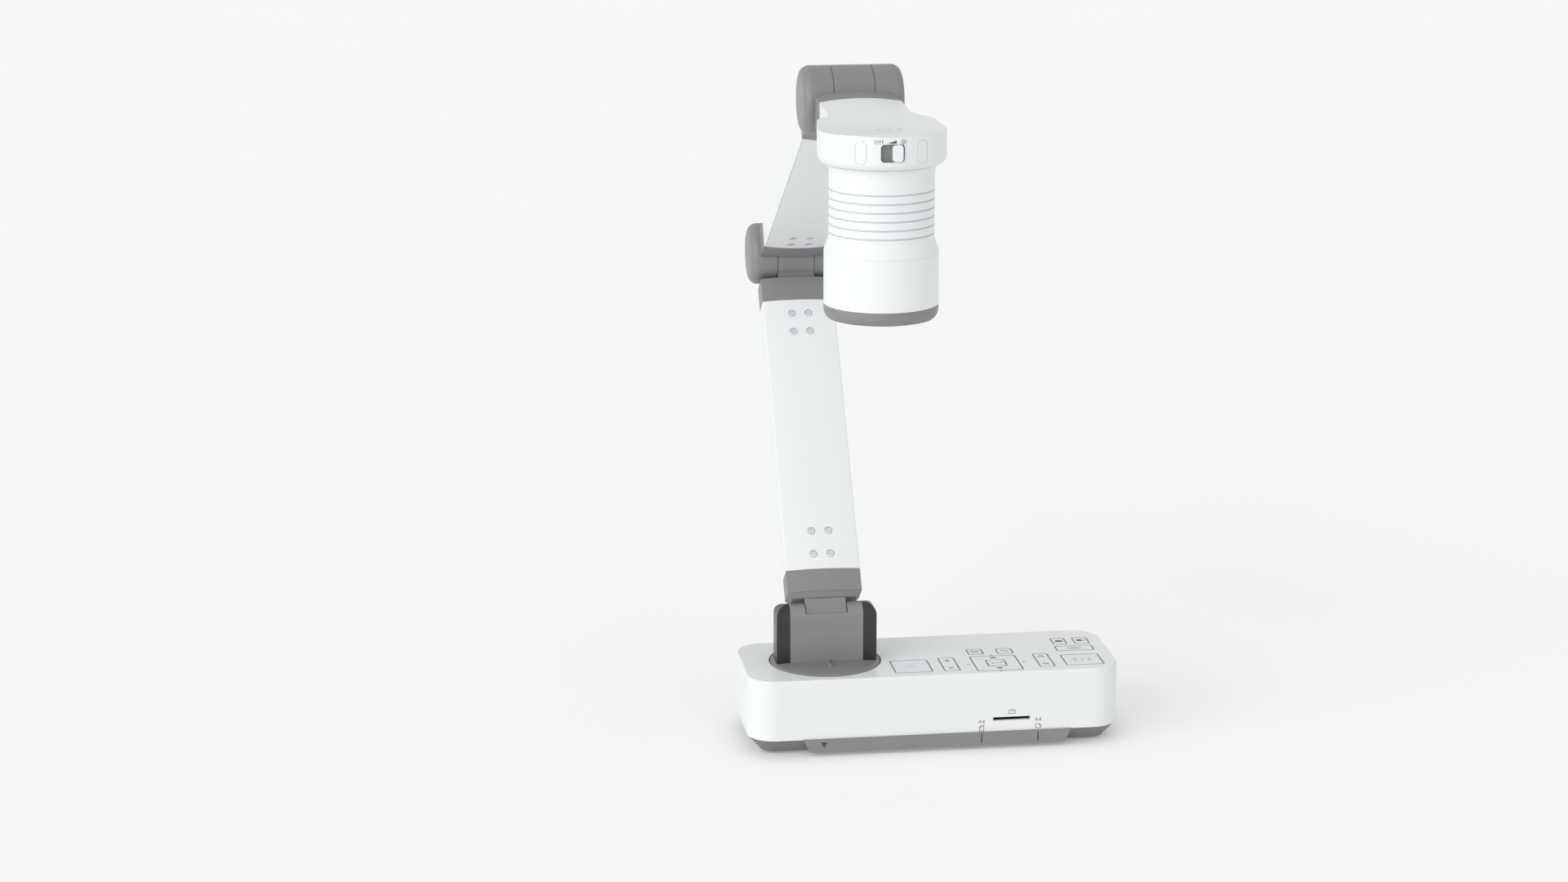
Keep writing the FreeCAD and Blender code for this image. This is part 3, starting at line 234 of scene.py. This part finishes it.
pale_ink = printed("pale_line", (0.42, 0.43, 0.44))
blue_ink = printed("blue_ink", (0.34, 0.52, 0.76), mottle=0.05, rough=0.45)
# Painted shade for the bottoms of the grip's grooves.
groove_shade_grey = printed("groove_shade_grey", (0.53, 0.54, 0.55))
# Painted shade for the running seams round the barrel.
seam_shade_white = printed("seam_shade", scaled(WHITE, 0.84), mottle=0.01, rough=0.45)

FINISHES = {
    white: (
        "top_case lower_arm_front_cover lower_arm_rear_cover upper_arm_under_cover "
        "upper_arm_top_cover head_top_cover head_lower_cover lamp_switch"
    ),
    barrel_white: "barrel_grip barrel_sleeve",
    key_white: (
        "power_button brightness_rocker menu_button return_button nav_pad enter_button "
        "zoom_rocker capture_button record_button preset_button focus_button"
    ),
    tray_shaded_grey: "bottom_tray",
    grey: (
        "paper_guide turntable hinge_post lower_arm_foot lower_arm_knuckle "
        "upper_arm_elbow_fork upper_arm_wrist_fork joint_caps head_knuckle switch_bezel lens_ring"
    ),
    charcoal: "post_side_covers",
    black: "audio_sockets power_inlet card_socket swivel_bearing nav_plate",
    rubber: "rubber_feet",
    steel: (
        "ballast_plate shoulder_shaft swivel_nut lower_arm_channel upper_arm_channel joint_shafts"
    ),
    nickel: "hdmi_sockets usb_sockets",
    zinc: "lower_arm_screws upper_arm_screws",
    dark_screw: "base_screws",
    board: "main_board keypad_board sensor_board",
    tube_black: "lens_tube",
    pane: "front_window",
    lens_glass: "lens_glass",
    lamp: "lamp_board",
    indicator: "status_lamp",
}
for material, names in FINISHES.items():
    for name in names.split():
        NODES[name].data.materials.clear()
        NODES[name].data.materials.append(material)

# ------------------------------------------------------------------ printed marks
# A mark is a list of flat shapes in millimetres, u to the right and v upwards.

BAND_STEPS, SUN_RAYS = 100, 8


def bar(points, width, closed=False):
    """A line of constant width through the points, mitred at each one."""
    count = len(points)
    rails = []
    for i, (x, y) in enumerate(points):
        before = points[i - 1] if closed or i else None
        after = points[(i + 1) % count] if closed or i < count - 1 else None
        here = Vector((x, y))
        into = (here - Vector(before)).normalized() if before else None
        out = (Vector(after) - here).normalized() if after else None
        into, out = into or out, out or into
        normal = Vector((-(into + out).y, (into + out).x)).normalized()
        cosine = max(0.35, normal.dot(Vector((-into.y, into.x))))
        offset = normal * (width / 2 / cosine)
        rails.append((here + offset, here - offset))
    return {"rails": rails, "closed": closed}


def arc(x, y, radius, start, stop, steps=20):
    turn = [math.radians(start + (stop - start) * i / steps) for i in range(steps + 1)]
    return [(x + radius * math.cos(a), y + radius * math.sin(a)) for a in turn]


def ring(x, y, radius, width, steps=28):
    return bar(arc(x, y, radius, 0, 360, steps)[:-1], width, closed=True)


def fill(points):
    return {"fill": [Vector(p) for p in points]}


def disc(x, y, radius):
    return fill(arc(x, y, radius, 0, 360, 20)[:-1])


def box_line(half_u, half_v, corner, width):
    """The outline of a rounded box about the origin."""
    points = []
    for su, sv, start in ((1, 1, 0), (-1, 1, 90), (-1, -1, 180), (1, -1, 270)):
        points += arc(su * (half_u - corner), sv * (half_v - corner), corner, start, start + 90, 4)
    return bar(points, width, closed=True)


def band(radius, rise, width):
    """A line right round a barrel of this radius, in millimetres."""
    rails = []
    for i in range(BAND_STEPS):
        u = 2 * math.pi * radius * i / BAND_STEPS
        rails.append((Vector((u, rise + width / 2)), Vector((u, rise - width / 2))))
    return {"rails": rails, "closed": True}


def moved(shapes, u=0.0, v=0.0, scale=1.0):
    """The same shapes somewhere else and at another size."""
    def shift(p):
        return Vector((p[0] * scale + u, p[1] * scale + v))

    result = []
    for shape in shapes:
        if "fill" in shape:
            result.append({"fill": [shift(p) for p in shape["fill"]]})
        else:
            rails = [(shift(a), shift(b)) for a, b in shape["rails"]]
            result.append({"rails": rails, "closed": shape["closed"]})
    return result


def raise_shapes(shapes, low, high):
    """Vertices (u, v, h) and faces of the shapes as thin closed plates."""
    vertices, faces = [], []
    for shape in shapes:
        base = len(vertices)
        if "fill" in shape:
            outline = shape["fill"]
            count = len(outline)
            vertices += [(p[0], p[1], high) for p in outline] + [(p[0], p[1], low) for p in outline]
            faces.append([base + i for i in range(count)])
            faces.append([base + count + i for i in reversed(range(count))])
            for i in range(count):
                j = (i + 1) % count
                faces.append([base + i, base + count + i, base + count + j, base + j])
            continue
        for left, right in shape["rails"]:
            vertices += [(left[0], left[1], high), (right[0], right[1], high)]
            vertices += [(right[0], right[1], low), (left[0], left[1], low)]
        count = len(shape["rails"])
        for i in range(count if shape["closed"] else count - 1):
            a, b = base + 4 * i, base + 4 * ((i + 1) % count)
            for k in range(4):
                m = (k + 1) % 4
                faces.append([a + k, b + k, b + m, a + m])
        if not shape["closed"]:
            last = base + 4 * (count - 1)
            faces.append([base + k for k in range(4)])
            faces.append([last + k for k in reversed(range(4))])
    return vertices, faces


def print_mark(name, shapes, place, body, material, proud=0.03, sunk=0.04):
    """Put a mark on a surface: place(u, v, h) gives a point of the shared frame, in metres."""
    vertices, faces = raise_shapes(shapes, -sunk, proud)
    mesh = bpy.data.meshes.new(name)
    mesh.from_pydata([place(*v) for v in vertices], [], faces)
    mesh.validate()
    mesh.update()
    piece = bpy.data.objects.new(name, mesh)
    bpy.context.scene.collection.objects.link(piece)
    bpy.context.view_layer.objects.active = piece
    piece.select_set(True)
    bpy.ops.object.mode_set(mode="EDIT")
    bpy.ops.mesh.select_all(action="SELECT")
    bpy.ops.mesh.normals_make_consistent(inside=False)
    bpy.ops.object.mode_set(mode="OBJECT")
    piece.select_set(False)
    mesh.materials.append(material)
    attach(piece, body)
    return piece


def on_top(x, y, z):
    """Marks that lie on a level face, read from the front."""
    return lambda u, v, h: Vector((x + u * MM, y + v * MM, z + h * MM))


def on_front(x, y, z):
    """Marks on an upright face that looks towards -Y."""
    return lambda u, v, h: Vector((x + u * MM, y - h * MM, z + v * MM))


def on_side(x, y, z):
    """Shapes on an upright face that looks towards +X."""
    return lambda u, v, h: Vector((x + h * MM, y + u * MM, z + v * MM))


def round_barrel(axis_x, axis_y, radius, angle, z):
    """Marks wrapped on an upright cylinder, about an angle measured from -Y towards +X."""
    def place(u, v, h):
        turn = math.radians(angle) + u * MM / radius
        reach = radius + h * MM
        return Vector((axis_x + reach * math.sin(turn), axis_y - reach * math.cos(turn), z + v * MM))

    return place


# ------------------------------------------------------------------ symbols


def power_symbol():
    return [bar(arc(0, 0, 2.7, 122, 418, 24), 0.6), bar([(0, 0.9), (0, 3.7)], 0.6)]


def sun_rays(start, reach, width):
    turns = [2 * math.pi * i / SUN_RAYS for i in range(SUN_RAYS)]
    ways = [Vector((math.cos(t), math.sin(t))) for t in turns]
    return [bar([way * start, way * reach], width) for way in ways]


def sun_symbol(radius, reach):
    return [disc(0, 0, radius)] + sun_rays(radius + 0.45, reach, 0.5)


def magnifier_symbol(plus):
    shapes = [
        ring(-0.5, 0.5, 1.6, 0.5),
        bar([(0.7, -0.7), (2.2, -2.2)], 0.75),
        bar([(-1.3, 0.5), (0.3, 0.5)], 0.45),
    ]
    if plus:
        shapes.append(bar([(-0.5, -0.3), (-0.5, 1.3)], 0.45))
    return shapes


def menu_symbol():
    return [bar([(-3.0, v), (3.0, v)], 0.6) for v in (-1.6, 0, 1.6)]


def return_symbol():
    return [
        bar([(-1.6, -1.4), (1.3, -1.4)] + arc(1.3, 0, 1.4, -90, 90, 10) + [(-1.4, 1.4)], 0.5),
        fill([(-2.9, 1.4), (-1.3, 0.3), (-1.3, 2.5)]),
    ]


def enter_symbol():
    return [
        bar([(3.9, 1.6), (3.9, -0.6), (-2.4, -0.6)], 0.55),
        fill([(-4.1, -0.6), (-2.2, -1.8), (-2.2, 0.6)]),
    ]


def photo_symbol():
    """A stills camera."""
    body = [(-2.8, -1.8), (2.8, -1.8), (2.8, 1.2)]
    viewfinder = [(1.4, 1.2), (1.0, 2.0), (-1.0, 2.0), (-1.4, 1.2)]
    return [fill(body + viewfinder + [(-2.8, 1.2)])]


def film_symbol():
    """A film camera."""
    return [
        fill([(-2.9, -1.6), (1.1, -1.6), (1.1, 1.3), (-2.9, 1.3)]),
        fill([(1.4, -0.3), (3.0, -1.3), (3.0, 1.1), (1.4, 0.1)]),
        disc(-1.8, 2.2, 0.75), disc(0.1, 2.2, 0.75),
    ]


def frame_symbol():
    """Wide corner brackets round a dot: find the focus."""
    shapes = [disc(0, 0, 0.8)]
    for su in (-1, 1):
        for sv in (-1, 1):
            shapes.append(bar([(su * 3.6, sv * 2.3), (su * 5.6, sv * 2.3), (su * 5.6, sv * 0.9)], 0.55))
    return shapes


def preset_symbol():
    """A list with one line picked out."""
    return [box_line(4.2, 1.4, 0.4, 0.45), bar([(-2.6, 0), (2.6, 0)], 0.7)]


def letter_a():
    return [bar([(-0.85, -1.3), (0, 1.3), (0.85, -1.3)], 0.34), bar([(-0.5, -0.45), (0.5, -0.45)], 0.3)]


def figure_four():
    return [bar([(0.45, -1.3), (0.45, 1.3), (-0.95, -0.6), (0.95, -0.6)], 0.34)]


def page_symbol(upright):
    """A sheet with a folded corner."""
    w, h = (1.5, 1.9) if upright else (1.9, 1.5)
    fold = 1.1
    side = -1 if upright else 1
    outline = [
        (-side * w, -h), (side * w, -h), (side * w, h - fold), (side * (w - fold), h), (-side * w, h),
    ]
    corner = [(side * w, h - fold), (side * (w - fold), h - fold), (side * (w - fold), h)]
    return [bar(outline, 0.4, closed=True), bar(corner, 0.34)]


def card_symbol():
    """A memory card: a chipped corner and three contacts."""
    outline = [(-2.3, -1.3), (2.3, -1.3), (2.3, 1.3), (-1.4, 1.3), (-2.3, 0.5)]
    contacts = [bar([(u, 0.1), (u, 0.8)], 0.4) for u in (-0.6, 0.4, 1.4)]
    return [bar(outline, 0.36, closed=True)] + contacts


def wedge_symbol():
    """A dimmed lamp: a rising wedge over a dotted line."""
    tops = [(-2.7 + 0.53 * i, -0.7 + 0.17 * i) for i in range(11)]
    slices = [fill([(a[0], -0.75), (b[0], -0.75), b, a]) for a, b in zip(tops, tops[1:])]
    return slices + [bar([(u - 0.35, -1.3), (u + 0.35, -1.3)], 0.3) for u in (-1.5, -0.3, 0.9, 2.1)]


def off_symbol():
    letters = [ring(-2.1, 0, 0.95, 0.34)]
    for u in (0.0, 1.5):
        letters.append(bar(arc(u + 0.5, 0.7, 0.5, 80, 180, 6) + [(u, -1.15)], 0.34))
        letters.append(bar([(u - 0.45, 0.35), (u + 0.65, 0.35)], 0.28))
    return letters


# ------------------------------------------------------------------ marks on the keys

BODY_OF = {node: body for body, nodes in BODIES.items() for node in nodes}
KEY_NAMES = FINISHES[key_white].split()
OUTLINE_WIDTH, OUTLINE_CORNER = 0.62, 1.5
KEY_FLANGE = 1.0  # how far the hidden flange of a key in the deck stands out past the part in sight


def key_middle(node):
    low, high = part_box(node)
    return (low + high) / 2, (high - low) / 2 / MM, high.z


def mark_key(node, shapes, material=ink):
    middle, _, top = key_middle(node)
    place = on_top(middle.x, middle.y, top)
    print_mark(node + "_symbol", shapes, place, BODY_OF[node], material)


def shade_outline_key(node, surface, body, reach):
    """A dark line of painted shade round a key's opening, widening the dark gap, on the surface that the
    opening is cut in.

    reach is how far the line's inner side lies outside the key's box.
    """
    middle, half, _ = key_middle(node)
    reach += OUTLINE_WIDTH / 2
    shapes = [box_line(half.x + reach, half.y + reach, OUTLINE_CORNER, OUTLINE_WIDTH)]
    place = on_top(middle.x, middle.y, surface)
    print_mark(node + "_outline", shapes, place, body, line_ink_and_shade, proud=0.02)


deck_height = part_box("top_case")[1].z
pad_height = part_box("nav_pad")[1].z
# Painted shade round every key's opening, widening the dark gap between key and case.
for node in KEY_NAMES:
    if node == "enter_button":
        shade_outline_key(node, pad_height, BODY_OF["nav_pad"], 0.45)
    else:
        shade_outline_key(node, deck_height, "base", 0.28 - KEY_FLANGE)

mark_key("power_button", power_symbol(), blue_ink)
mark_key("brightness_rocker", moved(sun_symbol(1.1, 2.5), v=8.0) + moved(sun_symbol(0.8, 2.0), v=-8.3))
mark_key("menu_button", menu_symbol(), line_ink_and_shade)
mark_key("return_button", return_symbol(), line_ink_and_shade)
mark_key("enter_button", enter_symbol(), line_ink_and_shade)
mark_key("zoom_rocker", moved(magnifier_symbol(True), v=8.2) + moved(magnifier_symbol(False), v=-8.3))
mark_key("capture_button", photo_symbol())
mark_key("record_button", film_symbol())
mark_key("preset_button", preset_symbol(), line_ink_and_shade)
mark_key("focus_button", frame_symbol(), line_ink_and_shade)

# The pad's diagonals, from the middle key's corners to the pad's own, and its two inner symbols.
pad_middle = key_middle("nav_pad")[0]
pad_surface = on_top(pad_middle.x, pad_middle.y, pad_height)
diagonals = []
for su in (-1, 1):
    for sv in (-1, 1):
        diagonals.append(bar([(su * 8.2, sv * 7.8), (su * 15.2, sv * 14.7)], 0.25))
pad_marks = [fill([(-2.3, 10.9), (2.3, 10.9), (1.7, 13.2), (-1.7, 13.2)])]
pad_marks += [fill([(-1.9, -12.5), (1.9, -12.5), (1.9, -10.1), (-1.9, -10.1)])]
print_mark("nav_pad_diagonals", diagonals, pad_surface, BODY_OF["nav_pad"], pale_ink)
print_mark("nav_pad_symbols", pad_marks, pad_surface, BODY_OF["nav_pad"], ink)

# ------------------------------------------------------------------ marks on the base

case_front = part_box("top_case")[0].y
guide_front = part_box("paper_guide")[0].y
GUIDE_MARK_DEPTH = 0.45 * MM
PAPER_LABELS = ((31.4, True), (71.3, False))
PAPER_LINES = (31.3, 71.0)

deck = on_top(0, 0, deck_height)
deck_marks = [
    fill([(44.5, -6.0), (46.7, -6.0), (45.6, -4.2)]),
    fill([(44.1, -41.3), (46.3, -41.3), (45.2, -43.1)]),
    bar([(24.7, -24.0), (27.4, -24.0)], 0.55),
    bar([(63.6, -23.6), (66.2, -23.6)], 0.55), bar([(64.9, -24.9), (64.9, -22.3)], 0.55),
]
print_mark("deck_marks", deck_marks, deck, "base", ink)

face = on_front(0, case_front, 0)
front_marks = []
for x, upright in PAPER_LABELS:
    front_marks += moved(letter_a(), x - 1.3, 19.8, 0.95) + moved(figure_four(), x + 1.2, 19.8, 0.95)
    front_marks += moved(page_symbol(upright), x, 15.0)
front_marks += moved(card_symbol(), 52.4, 26.2)
print_mark("front_marks", front_marks, face, "base", ink)

arrow_floor = on_front(0, guide_front + GUIDE_MARK_DEPTH, 0)
arrow = [fill([(-80.7, 10.1), (-78.7, 6.3), (-76.7, 10.1)])]
print_mark("centre_arrow", arrow, arrow_floor, "base", ink)
lines = [bar([(x, 4.7), (x, 11.2)], 0.74) for x in PAPER_LINES]
print_mark("guide_lines", lines, arrow_floor, "base", ink)

# ------------------------------------------------------------------ marks on the camera head

HEAD_TOP_Z = 0.460544  # depths down the barrel are counted from here
COLLAR_MARKS_Z = 0.4580
grip_low, grip_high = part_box("barrel_grip")
lens_x, lens_y = (grip_low.x + grip_high.x) / 2, (grip_low.y + grip_high.y) / 2
collar_radius = lens_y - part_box("head_top_cover")[0].y
for name, shapes, angle in (
    ("switch_off_mark", off_symbol(), -11.4),
    ("switch_dim_mark", wedge_symbol(), -0.6),
    ("switch_sun_mark", [ring(0, 0, 0.85, 0.36)] + sun_rays(1.3, 1.95, 0.36), 9.6),
):
    place = round_barrel(lens_x, lens_y, collar_radius, angle, COLLAR_MARKS_Z)
    print_mark(name, shapes, place, "head", ink)

# The bottoms of the grip's six grooves are painted grey: painted shade in the grooves.
GROOVE_RADIUS, GROOVE_FIRST, GROOVE_PITCH = 32.2 - 0.44, -36.1, -5.33
grooves = [band(GROOVE_RADIUS, GROOVE_FIRST + GROOVE_PITCH * number, 0.8) for number in range(6)]
groove_place = round_barrel(lens_x, lens_y, GROOVE_RADIUS * MM, 0, HEAD_TOP_Z)
print_mark(
    "groove_shade", grooves, groove_place, "camera_barrel", groove_shade_grey, proud=0.02
)

# The barrel's two running seams are closed by a lip inside them, a little darker than the white: painted
# shade along each seam.
for name, radius, rise, width in (("collar_seam", 34.1, -20.67, 0.3), ("sleeve_seam", 35.0, -75.01, 0.24)):
    seam_place = round_barrel(lens_x, lens_y, radius * MM, 0, HEAD_TOP_Z)
    print_mark(
        name, [band(radius, rise, width)], seam_place, "camera_barrel", seam_shade_white,
        proud=0.04, sunk=0.3,
    )

# ------------------------------------------------------------------ hinge washers

KNUCKLE_HALF, HINGE_GAP, HINGE_RADIUS = 13.0, 0.3, 22.0
# Dark grey rings in the gaps beside each knuckle: painted shade between the fork and the knuckle.
WASHER_MIDDLE, WASHER_WIDTH = HINGE_RADIUS - 1.2, 1.5
for hinge in ("elbow", "wrist"):
    x, y, z = JOINTS[hinge]["pos_m"]
    for side, label in ((-1, "left"), (1, "right")):
        middle = on_side(x + side * (KNUCKLE_HALF + HINGE_GAP / 2) * MM, y, z)
        washer = [ring(0, 0, WASHER_MIDDLE, WASHER_WIDTH, steps=64)]
        print_mark(
            f"{hinge}_washer_{label}", washer, middle, "upper_arm", washer_shade_grey,
            proud=0.12, sunk=0.12,
        )

# ------------------------------------------------------------------ stage

FLOOR_HALF = 30


def add_floor():
    material, tree, shader = new_material("studio_floor")
    tree.links.new(
        mix_colours(tree, add_noise(tree, 3, 2), (0.74, 0.74, 0.74), (0.75, 0.75, 0.75)),
        shader.inputs["Base Color"],
    )
    shader.inputs["Roughness"].default_value = 0.9
    shader.inputs["Specular IOR Level"].default_value = 0.0
    shader.inputs["Emission Color"].default_value = (1, 1, 1, 1)
    shader.inputs["Emission Strength"].default_value = 0.19
    corners = [(x * FLOOR_HALF, y * FLOOR_HALF, 0) for x, y in ((-1, -1), (1, -1), (1, 1), (-1, 1))]
    mesh = bpy.data.meshes.new("floor")
    mesh.from_pydata(corners, [], [(0, 1, 2, 3)])
    floor = bpy.data.objects.new("floor", mesh)
    mesh.materials.append(material)
    bpy.context.scene.collection.objects.link(floor)


def add_sun(name, heading, height, strength, spread):
    """Soft light: heading 0 comes from in front of the object, 90 from its left; all in degrees."""
    light = bpy.data.lights.new(name, "SUN")
    light.energy = strength
    light.angle = math.radians(spread)
    sun = bpy.data.objects.new(name, light)
    bpy.context.scene.collection.objects.link(sun)
    turn, rise = math.radians(heading), math.radians(height)
    level = Vector((-math.sin(turn), -math.cos(turn), 0)) * math.cos(rise)
    source = level + Vector((0, 0, math.sin(rise)))
    sun.rotation_euler = source.to_track_quat("Z", "Y").to_euler()
    sun.location = source * 3


def add_light():
    world = bpy.data.worlds.new("studio")
    bpy.context.scene.world = world
    world.use_nodes = True
    background = world.node_tree.nodes["Background"]
    background.inputs["Color"].default_value = (1.0, 1.0, 1.0, 1.0)
    background.inputs["Strength"].default_value = 0.80
    add_sun("key_light", heading=56, height=12, strength=2.1, spread=60)
    add_sun("fill_light", heading=-25, height=20, strength=0.22, spread=90)


def add_camera():
    data = bpy.data.cameras.new("camera")
    data.lens = 75.0
    data.sensor_width = 36.0
    camera = bpy.data.objects.new("camera", data)
    bpy.context.scene.collection.objects.link(camera)
    camera.location = (-0.40014, -2.15177, 0.74964)
    camera.rotation_euler = Euler((math.pi / 2 - 0.242089, 0, -0.138404))
    bpy.context.scene.camera = camera


add_floor()
add_light()
add_camera()
bpy.context.scene.view_settings.view_transform = "Standard"
